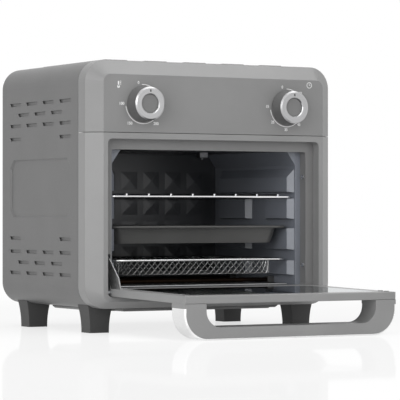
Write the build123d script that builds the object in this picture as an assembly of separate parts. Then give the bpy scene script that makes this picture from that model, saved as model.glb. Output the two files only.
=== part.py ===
from build123d import *
import math
import os

os.makedirs("parts", exist_ok=True)

# Driving dimensions in millimetres. X is to the right, Y to the back, Z up from the table.
# Y is counted from the flat of the fascia, and every piece is centred when it is written.

# Body
width = 360.0
body_height = 311.5
body_depth = 258.0
foot_height = 31.0
corner_radius = 28.0
sheet = 0.8
seam_gap = 0.6
seam_below_top = 91.0

# Fascia
chamfer_side = 18.2
chamfer_bottom = 9.0
chamfer_depth = 15.4
flat_corner_radius = 10.0
bezel_depth = 34.0
bezel_wall = 2.5
tongue_wall = 1.5
tongue_length = 7.0

# Recess of the door and opening of the oven
recess_margin = 24.5
recess_below_seam = 7.9
recess_bottom_above_body = 14.9
recess_depth = 13.5
recess_wall = 2.0
recess_radius = 6.0
opening_margin = 36.4
opening_below_recess_top = 12.9
opening_above_recess = 10.7
opening_radius = 3.0
frame_sheet = 1.2
flange_length = 12.3
flange_sheet = 1.0

# Door
door_clearance_side = 5.5
door_clearance_top = 1.2
door_clearance_bottom = 1.0
door_thickness = 9.6
door_inset = 1.0
door_border = 17.0
door_edge_radius = 1.2
door_below_level = 1.0
glass_thickness = 3.0
glass_clearance = 0.2
glass_ledge = 5.0
pin_radius = 2.5
pin_fit = 0.05
pin_in_door = 12.0

# Hinge arm
arm_sheet = 1.5
arm_from_edge = 1.0
arm_foot_width = 9.0
arm_reach_front = 26.0
arm_tip_back = 14.0
arm_tip_up = 45.0
arm_slot_clearance = 1.8
rivet_radius = 2.2
rivet_proud = 0.6

# Handle
handle_drop = 38.0
handle_depth = 31.0
handle_leg = 29.4
handle_bar = 15.4
handle_outer_radius = 32.0
handle_inner_radius = 20.0
handle_from_edge = 0.0
handle_pad = 5.6
trim_thickness = 1.9
trim_bevel = 1.6

# Knobs and their controls
knob_from_side = 74.0
knob_above_seam = 36.0
knob_base_radius = 23.0
knob_face_radius = 21.0
knob_length = 17.6
knob_gap = 0.8
ring_depth = 1.6
cap_radius = 11.6
cap_sunk = 0.5
shaft_radius = 3.0
shaft_bore_radius = 4.0
shaft_fit = 0.05
control_plate_back = 30.0
control_plate_sheet = 1.2
thermostat_size = (34.0, 26.0, 30.0)
timer_size = (46.0, 34.0, 42.0)
bell_radius = 17.0

# Oven cavity
cavity_sheet = 0.9
cavity_inset = 8.6
cavity_from_back = 22.0
corner_fold_x = 13.0
corner_fold_z = 18.0
rib_depth = 7.5
rib_from_flange = 2.0
rib_from_back = 18.0
rib_gap_front = 98.0
rib_gap_back = 136.0
rib_end_slope = 7.0
rib_lip = 0.3
back_border = 17.0
pyramid_pitch = 34.0
pyramid_depth = 0.9

# Levels of what slides, above the bottom edge of the opening
rack_level = 115.3
tray_level = 76.2
basket_level = 33.6
crumb_level = 0.4
seat_gap = 0.3

# Wire rack
rack_rod_radius = 1.6
rack_wire_radius = 1.25
rack_front = 32.0
rack_from_back = 10.0
rack_side_gap = 0.7
rack_wires = 8
rack_wire_pitch = 32.1
rack_corner_radius = 5.0

# Baking tray
tray_rim_radius = 1.7
tray_front = 34.0
tray_from_back = 14.0
tray_side_gap = 4.0
tray_flange = 8.5
tray_depth = 21.0
tray_slope = 5.5
tray_sheet = 1.0
tray_corner_radius = 16.0
tray_wall_radius = 12.0
tray_bump_radius = 9.0
tray_bump_proud = 1.0
tray_bumps = (-80.5, -65.0)

# Frying basket
basket_rim_radius = 1.5
basket_flange = 15.0
basket_depth = 19.4
basket_slope = 1.0
basket_sheet = 1.0
basket_hole_pitch = 16.6
basket_hole = 12.0
basket_corner_radius = 16.0
basket_wall_radius = 8.0

# Crumb tray
crumb_sheet = 0.6
crumb_front = 38.0
crumb_from_back = 6.0
crumb_side_gap = 6.0
crumb_wall = 1.2
crumb_tab_width = 40.0
crumb_tab_height = 1.6
crumb_runner_inset = 30.0
crumb_runner_width = 8.0

# Fan, motor and heaters
dome_from_side = 48.6
dome_height = 46.0
dome_flange = 8.0
fan_opening_in_dome = 9.0
guard_in_dome = 3.0
guard_slot_width = 5.0
guard_slots = 12
heater_radius = 3.0
upper_heater_in_dome = 29.0
upper_heater_rise = 14.0
blade_in_dome = 33.0
blade_height = 14.0
blade_count = 8
blade_below_dome = 6.0
motor_shaft_radius = 2.5
motor_size = (62.0, 48.0, 26.0)
bracket_sheet = 1.5
bracket_width = 34.0
bracket_above_dome = 4.0
cooling_blade_radius = 45.0
cooling_blade_height = 8.0
lower_heater_clear = 0.9
lower_heater_places = (85.0, 185.0)
heater_bush_radius = 5.0
heater_bush_length = 8.0
heater_hole_gap = 0.3
heater_bracket_length = 9.0

# Feet and base
foot_bottom = (26.5, 24.5)
foot_top = (35.0, 29.0)
foot_from_side = 30.5
foot_front_y = 47.0
foot_from_back = 34.0
foot_bore_radius = 5.0
foot_web = 8.0
pan_drop = 5.5
pan_from_side = 70.0
pan_wing_from_side = 46.0
pan_front = 46.0
pan_from_back = 18.0
pan_wing_front = 68.0
pan_wing_from_back = 58.0
return_width = 42.0
base_clearance = 0.2
foot_screw_inset = 4.0
pan_chamfer = 2.4

# Vents, side panels and top ribs of the housing
vent_length = 32.5
vent_height = 4.4
vent_slant = 3.0
vent_columns = 4
vent_rows = ((110.4, 4), (96.6, 3), (82.4, 4), (65.0, 2))
vent_middle_below_top = 159.8
panel_from_back = 24.0
panel_from_bezel = 21.0
panel_height = 76.0
panel_press = 2.0
panel_corner = 11.0
rib_count = 5
top_rib_margin = 7.5
top_rib_width = 37.0
top_rib_front = 52.0
top_rib_from_back = 22.0
top_rib_height = 3.6
top_rib_slope = 3.0

# Rear panel
rear_clearance = 0.2
rear_flange = 9.0
rear_vent_columns = 4
rear_vent_rows = 6
rear_vent_pitch_x = 50.0
rear_vent_pitch_z = 13.0
gland_radius = 8.0
gland_flange_radius = 12.0
gland_out = 9.0
gland_inside = 12.0
gland_from_side = 55.0
gland_z = 62.0
gland_bore_radius = 3.6

# Screws
screw_radius = 1.7
screw_head_radius = 3.2
screw_head = 1.8
foot_screw_radius = 2.0

# Places worked out from the driving dimensions
half = width / 2
body_top = foot_height + body_height
body_middle = foot_height + body_height / 2
seam_z = body_top - seam_below_top
recess_bottom = foot_height + recess_bottom_above_body
recess_top = seam_z - recess_below_seam
recess_height = recess_top - recess_bottom
recess_width = width - 2 * recess_margin
recess_middle = (recess_bottom + recess_top) / 2
opening_bottom = recess_bottom + opening_above_recess
opening_top = recess_top - opening_below_recess_top
opening_height = opening_top - opening_bottom
opening_width = width - 2 * opening_margin
opening_middle = (opening_bottom + opening_top) / 2
frame_back = recess_depth + frame_sheet
flange_back = frame_back + flange_length
axis_y = door_inset + door_thickness / 2
axis_z = recess_bottom + door_clearance_bottom + door_thickness / 2
door_width = recess_width - 2 * door_clearance_side
door_length = recess_top - door_clearance_top - axis_z
door_tilt = math.radians(door_below_level)
door_reach = door_length * math.cos(door_tilt) + door_thickness / 2 * math.sin(door_tilt) - axis_y
door_surface = axis_z + door_thickness / 2
door_underside = axis_z - door_thickness / 2
knob_spacing = width - 2 * knob_from_side
knob_z = seam_z + knob_above_seam
wall_x = opening_width / 2 + flange_sheet
cavity_x = wall_x - cavity_inset
cavity_floor = opening_bottom - flange_sheet
cavity_ceiling = opening_top + flange_sheet
rack_z = opening_bottom + rack_level
tray_z = opening_bottom + tray_level
basket_z = opening_bottom + basket_level
crumb_z = opening_bottom + crumb_level
ceiling_top = cavity_ceiling + cavity_sheet
cavity_back = body_depth - cavity_from_back
rack_back = cavity_back - rack_from_back
tray_back = cavity_back - tray_from_back
crumb_back = cavity_back - crumb_from_back
rib_front = flange_back + rib_from_flange
rib_back = cavity_back - rib_from_back
fan_centre_y = (flange_back + 1.0 + cavity_back) / 2
dome_radius = opening_width / 2 - dome_from_side
fan_opening_radius = dome_radius - fan_opening_in_dome
guard_radius = dome_radius - guard_in_dome
upper_heater_ring = dome_radius - upper_heater_in_dome
blade_radius = dome_radius - blade_in_dome
dome_top = ceiling_top + dome_height
foot_centre_x = half - foot_from_side
foot_rear_y = body_depth - foot_from_back
pan_half_width = half - pan_from_side
pan_wing_half_width = half - pan_wing_from_side
pan_back = body_depth - pan_from_back
pan_wing_back = body_depth - pan_wing_from_back
return_edge = half - return_width
base_half_width = half - corner_radius - base_clearance
panel_front = bezel_depth + panel_from_bezel
panel_back = body_depth - panel_from_back
panel_length = panel_back - panel_front
vent_centre_y = (panel_front + panel_back) / 2
vent_pitch = (panel_length - vent_length) / (vent_columns - 1)
top_rib_pitch = (width - 2 * corner_radius - 2 * top_rib_margin) / rib_count
top_rib_back = body_depth - top_rib_from_back
gland_x = gland_from_side - half
middle_y = (body_depth + gland_out - door_reach) / 2

written = {}


# Small helpers
def on_front(sketch, y, x=0.0, z=0.0):
    return Plane(origin=(x, y, z), x_dir=(1, 0, 0), z_dir=(0, -1, 0)) * sketch


def on_side(sketch, x, y=0.0, z=0.0):
    return Plane(origin=(x, y, z), x_dir=(0, 1, 0), z_dir=(1, 0, 0)) * sketch


def along_y(sketch, y_from, y_to, x=0.0, z=0.0):
    return extrude(on_front(sketch, y_from, x, z), amount=y_from - y_to)


def along_x(sketch, x_from, x_to, y=0.0, z=0.0):
    return extrude(on_side(sketch, x_from, y, z), amount=x_to - x_from)


def along_z(sketch, z_from, z_to, x=0.0, y=0.0):
    return extrude(Pos(x, y, z_from) * sketch, amount=z_to - z_from)


def block(x, y, z):
    size = (x[1] - x[0], y[1] - y[0], z[1] - z[0])
    centre = ((x[0] + x[1]) / 2, (y[0] + y[1]) / 2, (z[0] + z[1]) / 2)
    return Pos(*centre) * Box(*size)


def rod_x(radius, x_from, x_to, y, z):
    return along_x(Circle(radius), x_from, x_to, y, z)


def rod_y(radius, y_from, y_to, x, z):
    return along_y(Circle(radius), y_from, y_to, x, z)


def rod_z(radius, z_from, z_to, x, y):
    return along_z(Circle(radius), z_from, z_to, x, y)


def mirrored(part):
    return mirror(part, about=Plane.YZ)


def write(name, part):
    placed = Pos(0, -middle_y, 0) * part
    written[name] = placed
    export_step(placed, f"parts/{name}.step")


# The open door hangs a little below level, so its pieces are turned about the hinge
def opened(part):
    return Pos(0, axis_y, axis_z) * Rot(door_below_level, 0, 0) * Pos(0, -axis_y, -axis_z) * part


# Fascia: a chamfered ring in front and a skirt behind, hollow inside
def fascia_block(inward):
    flat_top = body_top - chamfer_side - inward / 2
    flat_bottom = foot_height + chamfer_bottom + inward / 2
    flat = RectangleRounded(width - 2 * chamfer_side - inward, flat_top - flat_bottom, flat_corner_radius)
    skirt = RectangleRounded(width - 2 * inward, body_height - 2 * inward, corner_radius - inward)
    shoulder = chamfer_depth + inward / 2
    front = on_front(flat, inward, 0, (flat_top + flat_bottom) / 2)
    back = on_front(skirt, shoulder, 0, body_middle)
    cone = loft(Sketch() + [front, back], ruled=True)
    return cone + along_y(skirt, shoulder, bezel_depth, 0, body_middle)


def ring_y(inset, wall, y_from, y_to):
    outside = RectangleRounded(width - 2 * inset, body_height - 2 * inset, corner_radius - inset)
    deep = inset + wall
    inside = RectangleRounded(width - 2 * deep, body_height - 2 * deep, corner_radius - deep)
    return along_y(outside - inside, y_from, y_to, 0, body_middle)


def fascia_shell():
    hollow = fascia_block(bezel_wall)
    tongue_inset = sheet + rear_clearance
    overlap = bezel_wall - tongue_inset
    tongue = ring_y(tongue_inset, tongue_wall, bezel_depth - overlap, bezel_depth + tongue_length)
    return fascia_block(0) - hollow + tongue


def above(z):
    return block((-width, width), (-body_depth, 2 * body_depth), (z, z + 2 * body_height))


def below(z):
    return block((-width, width), (-body_depth, 2 * body_depth), (z - 2 * body_height, z))


inner_half = half - bezel_wall


def control_panel():
    panel = fascia_shell() & above(seam_z + seam_gap / 2)
    floor_bottom = seam_z + seam_gap / 2
    floor = block(
        (-inner_half - 0.5, inner_half + 0.5),
        (bezel_wall - 0.5, bezel_depth),
        (floor_bottom, floor_bottom + bezel_wall),
    )
    panel = panel + (floor & fascia_block(bezel_wall / 2))
    for side in (-1, 1):
        x = side * knob_spacing / 2
        boss = rod_y(shaft_bore_radius + 3, bezel_wall / 2, control_plate_back, x, knob_z)
        panel = panel + boss
        panel = panel - rod_y(shaft_bore_radius, -1, control_plate_back + 1, x, knob_z)
    return panel


def front_frame():
    frame = fascia_shell() & below(seam_z - seam_gap / 2)
    roof_top = seam_z - seam_gap / 2
    roof = block(
        (-inner_half - 0.5, inner_half + 0.5),
        (bezel_wall - 0.5, bezel_depth),
        (roof_top - bezel_wall, roof_top),
    )
    frame = frame + (roof & fascia_block(bezel_wall / 2))
    outside = RectangleRounded(
        recess_width + 2 * recess_wall, recess_height + 2 * recess_wall, recess_radius + recess_wall
    )
    inside = RectangleRounded(recess_width, recess_height, recess_radius)
    frame = frame + along_y(outside, bezel_wall / 2, recess_depth, 0, recess_middle)
    frame = frame - along_y(inside, -1, recess_depth + 1, 0, recess_middle)
    pin_end = recess_width / 2 + recess_wall + 1
    frame = frame - rod_x(pin_radius, -pin_end, pin_end, axis_y, axis_z)
    return frame


# Metal frame behind the recess, with the door opening and its flange
def inner_frame():
    outer_x = recess_width / 2 + recess_wall + 5
    plate_bottom = recess_bottom - recess_wall - 4
    plate_top = seam_z - seam_gap / 2 - bezel_wall - 0.5
    plate = block((-outer_x, outer_x), (recess_depth, frame_back), (plate_bottom, plate_top))
    hole = RectangleRounded(opening_width, opening_height, opening_radius)
    grown = RectangleRounded(
        opening_width + 2 * flange_sheet, opening_height + 2 * flange_sheet, opening_radius + flange_sheet
    )
    frame = plate + along_y(grown, frame_back - 0.2, flange_back, 0, opening_middle)
    frame = frame - along_y(hole, recess_depth - 1, flange_back + 1, 0, opening_middle)
    slot_x = (-arm_x - arm_sheet - arm_slot_clearance, -arm_x + arm_slot_clearance)
    slot_z = (recess_bottom + 1.5, axis_z + arm_tip_up + 2.5)
    frame = frame - block(slot_x, (recess_depth - 1, frame_back + 1), slot_z)
    for side in (-1, 1):
        for z in flange_screw_z:
            hole_x = (side * (opening_width / 2 - 1), side * (wall_x + 1))
            frame = frame - rod_x(screw_radius, min(hole_x), max(hole_x), flange_screw_y, z)
    return frame


arm_x = door_width / 2 - arm_from_edge - arm_sheet
flange_screw_y = recess_depth + 6.0
flange_screw_z = (opening_bottom + 26.0, opening_top - 32.5)


# Housing: one sheet wrapped over the top and the sides, with returns under the base
def vent_slot(side, y, z):
    long_y = vent_length / 2
    high = vent_height / 2
    outline = Polyline(
        (-long_y, -high),
        (long_y - vent_slant, -high),
        (long_y, high),
        (-long_y, high),
        close=True,
    )
    x_out = side * (half + 1)
    x_in = side * (half - sheet - 1)
    return along_x(make_face(outline), min(x_in, x_out), max(x_in, x_out), y, z)


def vent_slots():
    slots = []
    vent_middle = body_top - vent_middle_below_top
    for side in (-1, 1):
        for offset, count in vent_rows:
            step = vent_pitch * (3 if count == 2 else 1)
            for up in (-1, 1):
                for i in range(count):
                    y = vent_centre_y + (i - (count - 1) / 2) * step
                    slots.append(vent_slot(side, y, vent_middle + up * offset))
    return slots


def pressed_panel(side, grow, x_face, x_deep):
    middle_z = body_top - vent_middle_below_top
    big = panel_outline(grow)
    small = panel_outline(grow - panel_press)
    face = on_side(big, side * x_face, vent_centre_y, middle_z)
    deep = on_side(small, side * x_deep, vent_centre_y, middle_z)
    return loft(Sketch() + [face, deep], ruled=True)


def panel_outline(grow):
    a = panel_length / 2 + grow
    b = panel_height / 2 + grow
    c = panel_corner
    points = [(-a, -b + c), (-a + c, -b), (a - c, -b), (a, -b + c)]
    points += [(a, b - c), (a - c, b), (-a + c, b), (-a, b - c)]
    return make_face(Polyline(*points, close=True))


def top_rib(x, inward):
    low = Rectangle(top_rib_width - 2 * inward, top_rib_back - top_rib_front - 2 * inward)
    slope = 2 * (top_rib_slope + inward)
    high = Rectangle(top_rib_width - slope, top_rib_back - top_rib_front - slope)
    y = (top_rib_back + top_rib_front) / 2
    base = body_top - sheet * 0.5 - inward
    bottom = Pos(x, y, base) * low
    top = Pos(x, y, body_top + top_rib_height - inward) * high
    return loft(Sketch() + [bottom, top], ruled=True)


def housing_wrap():
    housing = ring_y(0, sheet, bezel_depth + seam_gap, body_depth)
    opening = block(
        (-return_edge, return_edge), (bezel_depth - 1, body_depth + 1), (foot_height - 1, foot_height + sheet + 1)
    )
    housing = housing - opening
    for side in (-1, 1):
        housing = housing + pressed_panel(side, sheet, half - sheet / 2, half - panel_press - sheet)
        housing = housing - pressed_panel(side, 0, half + 0.01, half - panel_press)
    centres = [(i - (rib_count - 1) / 2) * top_rib_pitch for i in range(rib_count)]
    housing = housing + [top_rib(x, 0) for x in centres]
    housing = housing - [top_rib(x, sheet) for x in centres]
    for x, y in foot_screw_places:
        housing = housing - rod_z(foot_screw_radius, foot_height - 1, foot_height + sheet + 1, x, y)
    return housing - vent_slots()


# Rear panel inside the end of the housing, with vents and a round hole for the cable gland
def rear_panel():
    inset = sheet + rear_clearance
    outline = RectangleRounded(width - 2 * inset, body_height - 2 * inset, corner_radius - inset)
    panel = along_y(outline, body_depth - sheet, body_depth, 0, body_middle)
    panel = panel + ring_y(inset, sheet, body_depth - rear_flange, body_depth - sheet / 2)
    slots = []
    vent_top = body_top - 45.0
    for column in range(rear_vent_columns):
        for row in range(rear_vent_rows):
            x = (column - (rear_vent_columns - 1) / 2) * rear_vent_pitch_x
            z = vent_top - row * rear_vent_pitch_z
            slot = SlotOverall(vent_length, vent_height)
            slots.append(along_y(slot, body_depth - sheet - 1, body_depth + 1, x, z))
    panel = panel - slots
    panel = panel - rod_y(gland_radius, body_depth - sheet - 1, body_depth + 1, gland_x, gland_z)
    for x, z in rear_screw_places:
        panel = panel - rod_y(screw_radius, body_depth - sheet - 1, body_depth + 1, x, z)
    return panel


rear_screw_x = half - 26.0
rear_screw_places = [
    (side * rear_screw_x, z) for side in (-1, 1) for z in (foot_height + 26.0, body_middle, body_top - 26.0)
]


def screw_y(x, z, head_y, length, direction=1):
    tip = head_y - direction * length
    head_end = head_y + direction * screw_head
    shank = rod_y(screw_radius - 0.05, min(tip, head_y), max(tip, head_y), x, z)
    head = rod_y(screw_head_radius, min(head_y, head_end), max(head_y, head_end), x, z)
    slot_y = (min(head_end, head_end - direction * 0.8), max(head_end, head_end - direction * 0.8))
    cross = block((x - 2.2, x + 2.2), slot_y, (z - 0.4, z + 0.4))
    cross = cross + block((x - 0.4, x + 0.4), slot_y, (z - 2.2, z + 2.2))
    return shank + head - cross


def screw_z(x, y, head_z, length, radius=screw_radius):
    shank = rod_z(radius - 0.05, head_z, head_z + length, x, y)
    head = rod_z(radius * 1.9, head_z - screw_head, head_z, x, y)
    cross = block((x - 2.0, x + 2.0), (y - 0.4, y + 0.4), (head_z - screw_head, head_z - screw_head + 0.8))
    cross = cross + block(
        (x - 0.4, x + 0.4), (y - 2.0, y + 2.0), (head_z - screw_head, head_z - screw_head + 0.8)
    )
    return shank + head - cross


def group(parts):
    return Compound(children=[part if isinstance(part, Solid) else part.solid() for part in parts])


def rear_screws():
    return group([screw_y(x, z, body_depth, 7.0) for x, z in rear_screw_places])


# Base plate lies on the returns of the housing, and its pressed pan hangs below the body
def cross_outline(shrink):
    long_part = Rectangle(2 * (pan_half_width - shrink), pan_back - pan_front - 2 * shrink)
    wide_part = Rectangle(2 * (pan_wing_half_width - shrink), pan_wing_back - pan_wing_front - 2 * shrink)
    centre = (pan_back + pan_front) / 2
    wing_centre = (pan_wing_back + pan_wing_front) / 2
    return Pos(0, centre) * long_part + Pos(0, wing_centre) * wide_part


base_front = bezel_depth + seam_gap + tongue_length
base_bottom = foot_height + sheet
base_top = base_bottom + sheet


def base_plate():
    base_back = body_depth - rear_flange - 0.5
    plate = block((-base_half_width, base_half_width), (base_front + 1, base_back), (base_bottom, base_top))
    pan_bottom = foot_height - pan_drop
    pan = along_z(cross_outline(0), pan_bottom, base_bottom + sheet / 2)
    pan = chamfer(pan.faces().sort_by(Axis.Z)[0].edges(), pan_chamfer)
    hollow = along_z(cross_outline(sheet), pan_bottom + sheet, base_top + 1)
    hollow = chamfer(hollow.faces().sort_by(Axis.Z)[0].edges(), pan_chamfer)
    plate = plate + pan - hollow
    for x, y in foot_screw_places:
        plate = plate - rod_z(foot_screw_radius, base_bottom - 1, base_top + 1, x, y)
    return plate


foot_places = {
    "foot_front_left": (-foot_centre_x, foot_front_y),
    "foot_front_right": (foot_centre_x, foot_front_y),
    "foot_rear_left": (-foot_centre_x, foot_rear_y),
    "foot_rear_right": (foot_centre_x, foot_rear_y),
}
foot_screw_x = foot_centre_x - foot_screw_inset
foot_screw_places = [
    (side * foot_screw_x, y) for side in (-1, 1) for y in (foot_front_y, foot_rear_y)
]


# A foot flares towards the top on hollow sides, and its top follows the body
def flare(bottom, top, height):
    b = bottom / 2
    t = top / 2
    bend = (b + (t - b) * 0.28, height * 0.55)
    right = ThreePointArc((b, 0), bend, (t, height))
    left = ThreePointArc((-t, height), (-bend[0], bend[1]), (-b, 0))
    floor = Line((-b, 0), (b, 0))
    roof = Line((t, height), (-t, height))
    return make_face(Curve() + [floor, right, roof, left])


def foot(x, y):
    height = foot_height + 5.0
    front_shape = along_y(flare(foot_bottom[0], foot_top[0], height), y - 30, y + 30, x, 0)
    side_shape = along_x(flare(foot_bottom[1], foot_top[1], height), x - 30, x + 30, y, 0)
    leg = front_shape & side_shape
    body = RectangleRounded(width, body_height, corner_radius)
    leg = leg - along_y(body, 0, body_depth + 10, 0, body_middle)
    bore_top = foot_height - foot_web
    screw_x = math.copysign(foot_screw_x, x)
    leg = leg - rod_z(foot_bore_radius, -1, bore_top, screw_x, y)
    return leg - rod_z(foot_screw_radius, bore_top - 1, foot_height + 6, screw_x, y)


def foot_screws():
    head_z = foot_height - foot_web
    length = foot_web + 2 * sheet + 4.0
    return group([screw_z(x, y, head_z, length, foot_screw_radius) for x, y in foot_screw_places])


# Knobs
def knob_body(x):
    bottom = on_front(Circle(knob_base_radius), -knob_gap, x, knob_z)
    top = on_front(Circle(knob_face_radius), -knob_gap - knob_length, x, knob_z)
    knob = loft(Sketch() + [bottom, top])
    face_y = -knob_gap - knob_length
    knob = knob - rod_y(knob_face_radius - 1.2, face_y - 1, face_y + ring_depth, x, knob_z)
    hollow_back = -knob_gap
    hollow = rod_y(knob_base_radius - 4, hollow_back - 9, hollow_back + 1, x, knob_z)
    hub = rod_y(shaft_radius + 3, hollow_back - 10, hollow_back, x, knob_z)
    knob = knob - (hollow - hub)
    return knob - rod_y(shaft_radius, knob_socket_y, 1, x, knob_z)


knob_socket_y = -knob_gap - knob_length + ring_depth + 3.5


def knob_ring(x):
    face_y = -knob_gap - knob_length
    outer = knob_face_radius - 1.2
    ring = rod_y(outer, face_y - 0.6, face_y + ring_depth, x, knob_z)
    ring = ring - rod_y(cap_radius, face_y - 2, face_y + ring_depth + 1, x, knob_z)
    mark = block((x - 0.8, x + 0.8), (face_y - 1, face_y), (knob_z + cap_radius + 2, knob_z + outer - 1))
    return ring - mark


def knob_cap(x):
    face_y = -knob_gap - knob_length
    cap = rod_y(cap_radius, face_y + cap_sunk, face_y + ring_depth, x, knob_z)
    return fillet(cap.faces().sort_by(Axis.Y)[0].edges(), 0.4)


# Plate that carries the thermostat and the timer, on the bosses of the control panel
control_front = control_plate_back + control_plate_sheet


def control_bracket():
    x_end = knob_spacing / 2 + 30.0
    z_low = seam_z + seam_gap / 2 + bezel_wall
    z_high = knob_z + 24.0
    plate = block((-x_end, x_end), (control_plate_back, control_front), (z_low, z_high))
    plate = plate + block((-x_end, x_end), (control_plate_back - 14, control_plate_back), (z_low, z_low + 1.2))
    for side in (-1, 1):
        plate = plate - rod_y(shaft_radius + shaft_fit, 0, body_depth, side * knob_spacing / 2, knob_z)
    return plate


def control_case(x, size):
    case = block(
        (x - size[0] / 2, x + size[0] / 2),
        (control_front, control_front + size[1]),
        (knob_z - size[2] / 2, knob_z + size[2] / 2),
    )
    case = fillet(case.edges().filter_by(Axis.Y), 2.0)
    lug = size[2] / 2 + 4
    tabs = block((x - 5, x + 5), (control_front, control_front + 1.5), (knob_z - lug, knob_z + lug))
    case = case + tabs
    return case - rod_y(shaft_radius + shaft_fit, control_front - 1, control_front + 14, x, knob_z)


def control_shaft(x):
    return rod_y(shaft_radius, knob_socket_y, control_front + 13, x, knob_z)


def timer_bell():
    x = knob_spacing / 2
    y = control_front + timer_size[1]
    bell = rod_y(bell_radius, y, y + 12, x, knob_z)
    hollow = rod_y(bell_radius - 1.2, y - 1, y + 10.8, x, knob_z)
    post = rod_y(3.0, y, y + 11, x, knob_z)
    return bell - hollow + post


# Oven cavity
def side_rib(inward, y, base_z, face_z):
    base_y = (y[0] + inward, y[1] - inward)
    face_y = (y[0] + rib_end_slope + inward / 2, y[1] - rib_end_slope - inward / 2)
    base = Rectangle(base_y[1] - base_y[0], base_z[1] - base_z[0] - 2 * inward)
    face = Rectangle(face_y[1] - face_y[0], face_z[1] - face_z[0] - inward)
    x_base = cavity_x + cavity_sheet / 2 + inward
    x_face = cavity_x - rib_depth + inward
    low = on_side(base, x_base, sum(base_y) / 2, sum(base_z) / 2)
    high = on_side(face, x_face, sum(face_y) / 2, sum(face_z) / 2)
    return loft(Sketch() + [low, high], ruled=True)


rib_tops = {
    "rack": rack_z - rack_rod_radius - seat_gap,
    "tray": tray_z - tray_rim_radius - seat_gap,
    "basket": basket_z - basket_rim_radius - seat_gap,
}
rib_clear = 6.0


# One long rib over the rack, and a front and a rear rib under each of the three levels
def side_ribs():
    above_rack = rack_z + rib_clear
    above_tray = tray_z + rib_clear + 4
    above_basket = basket_z + rib_clear + 6
    lower_rib = lower_heater_z + heater_radius + 4
    ribs = [((rib_front, rib_back), (above_rack, above_rack + 32), (above_rack + 1, above_rack + 20))]
    for y in ((rib_front, rib_gap_front), (rib_gap_back, rib_back)):
        for low, top in ((above_tray, "rack"), (above_basket, "tray"), (lower_rib, "basket")):
            high = rib_tops[top]
            ribs.append((y, (low, high), (low + 1, high - rib_lip)))
    return ribs


def corner_fold():
    x = cavity_x
    z = cavity_ceiling
    strip = Polyline(
        (x, z - corner_fold_z),
        (x - corner_fold_x, z),
        (x - corner_fold_x + 1.1, z),
        (x + cavity_sheet / 2, z - corner_fold_z + 0.9),
        (x + cavity_sheet / 2, z - corner_fold_z),
        close=True,
    )
    gusset = Polyline((x, z - corner_fold_z), (x - corner_fold_x, z), (x + 1, z), (x + 1, z - corner_fold_z), close=True)
    fold = along_y(make_face(strip), flange_back, cavity_back)
    return fold + along_y(make_face(gusset), flange_back, flange_back + cavity_sheet)


def cavity_right():
    wall = block((cavity_x, cavity_x + cavity_sheet), (flange_back, cavity_back), (cavity_floor, cavity_ceiling))
    wall = wall + block(
        (cavity_x, wall_x + cavity_sheet), (flange_back, flange_back + cavity_sheet), (cavity_floor, cavity_ceiling)
    )
    lip_front = frame_back + 1.0
    wall = wall + block(
        (wall_x, wall_x + cavity_sheet),
        (lip_front, flange_back + cavity_sheet),
        (cavity_floor, cavity_ceiling),
    )
    wall = wall + corner_fold()
    for y, base_z, face_z in side_ribs():
        wall = wall + side_rib(0, y, base_z, face_z)
        wall = wall - side_rib(cavity_sheet, y, base_z, face_z)
    for z in flange_screw_z:
        wall = wall - rod_x(screw_radius, wall_x - 1, wall_x + cavity_sheet + 1, flange_screw_y, z)
    for y in lower_heater_places:
        wall = wall - rod_x(heater_radius + heater_hole_gap, cavity_x - 1, wall_x + 5, y, lower_heater_z)
    return wall


lower_heater_z = crumb_z + crumb_wall + lower_heater_clear + heater_radius


# Fan housing, heaters and motor above the cavity
def cavity_back_panel():
    x = wall_x + cavity_sheet
    panel = block((-x, x), (cavity_back, cavity_back + cavity_sheet), (cavity_floor, cavity_ceiling))
    wide = 2 * (cavity_x - back_border)
    high = opening_height - back_border
    columns = int(wide // pyramid_pitch)
    rows = int(high // pyramid_pitch)
    pyramids = []
    hollows = []
    for i in range(columns):
        for j in range(rows):
            px = (i - (columns - 1) / 2) * pyramid_pitch
            pz = opening_middle + (j - (rows - 1) / 2) * pyramid_pitch
            pyramids.append(pyramid(px, pz, 0))
            hollows.append(pyramid(px, pz, cavity_sheet))
    return panel + pyramids - hollows


def pyramid(x, z, inward):
    size = pyramid_pitch - 2.0 - 2 * inward
    base = on_front(Rectangle(size, size), cavity_back + 0.3 + inward, x, z)
    tip = on_front(Rectangle(3.0, 3.0), cavity_back - pyramid_depth + inward, x, z)
    return loft(Sketch() + [base, tip], ruled=True)


def cavity_top():
    x = wall_x + cavity_sheet
    plate = block((-x, x), (frame_back + 1, cavity_back + cavity_sheet), (cavity_ceiling, ceiling_top))
    return plate - rod_z(fan_opening_radius, cavity_ceiling - 1, ceiling_top + 1, 0, fan_centre_y)


def cavity_floor_panel():
    x = wall_x + cavity_sheet
    floor = block(
        (-x, x), (frame_back + 1, cavity_back + cavity_sheet), (cavity_floor - cavity_sheet, cavity_floor)
    )
    runner_top = crumb_z - seat_gap
    runner_x = cavity_x - crumb_side_gap - crumb_runner_inset
    for side in (-1, 1):
        x_near = side * (runner_x - crumb_runner_width / 2)
        x_far = side * (runner_x + crumb_runner_width / 2)
        floor = floor + block(
            (min(x_near, x_far), max(x_near, x_far)),
            (crumb_front + 6, crumb_back - 6),
            (cavity_floor - cavity_sheet / 2, runner_top),
        )
    return floor


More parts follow.
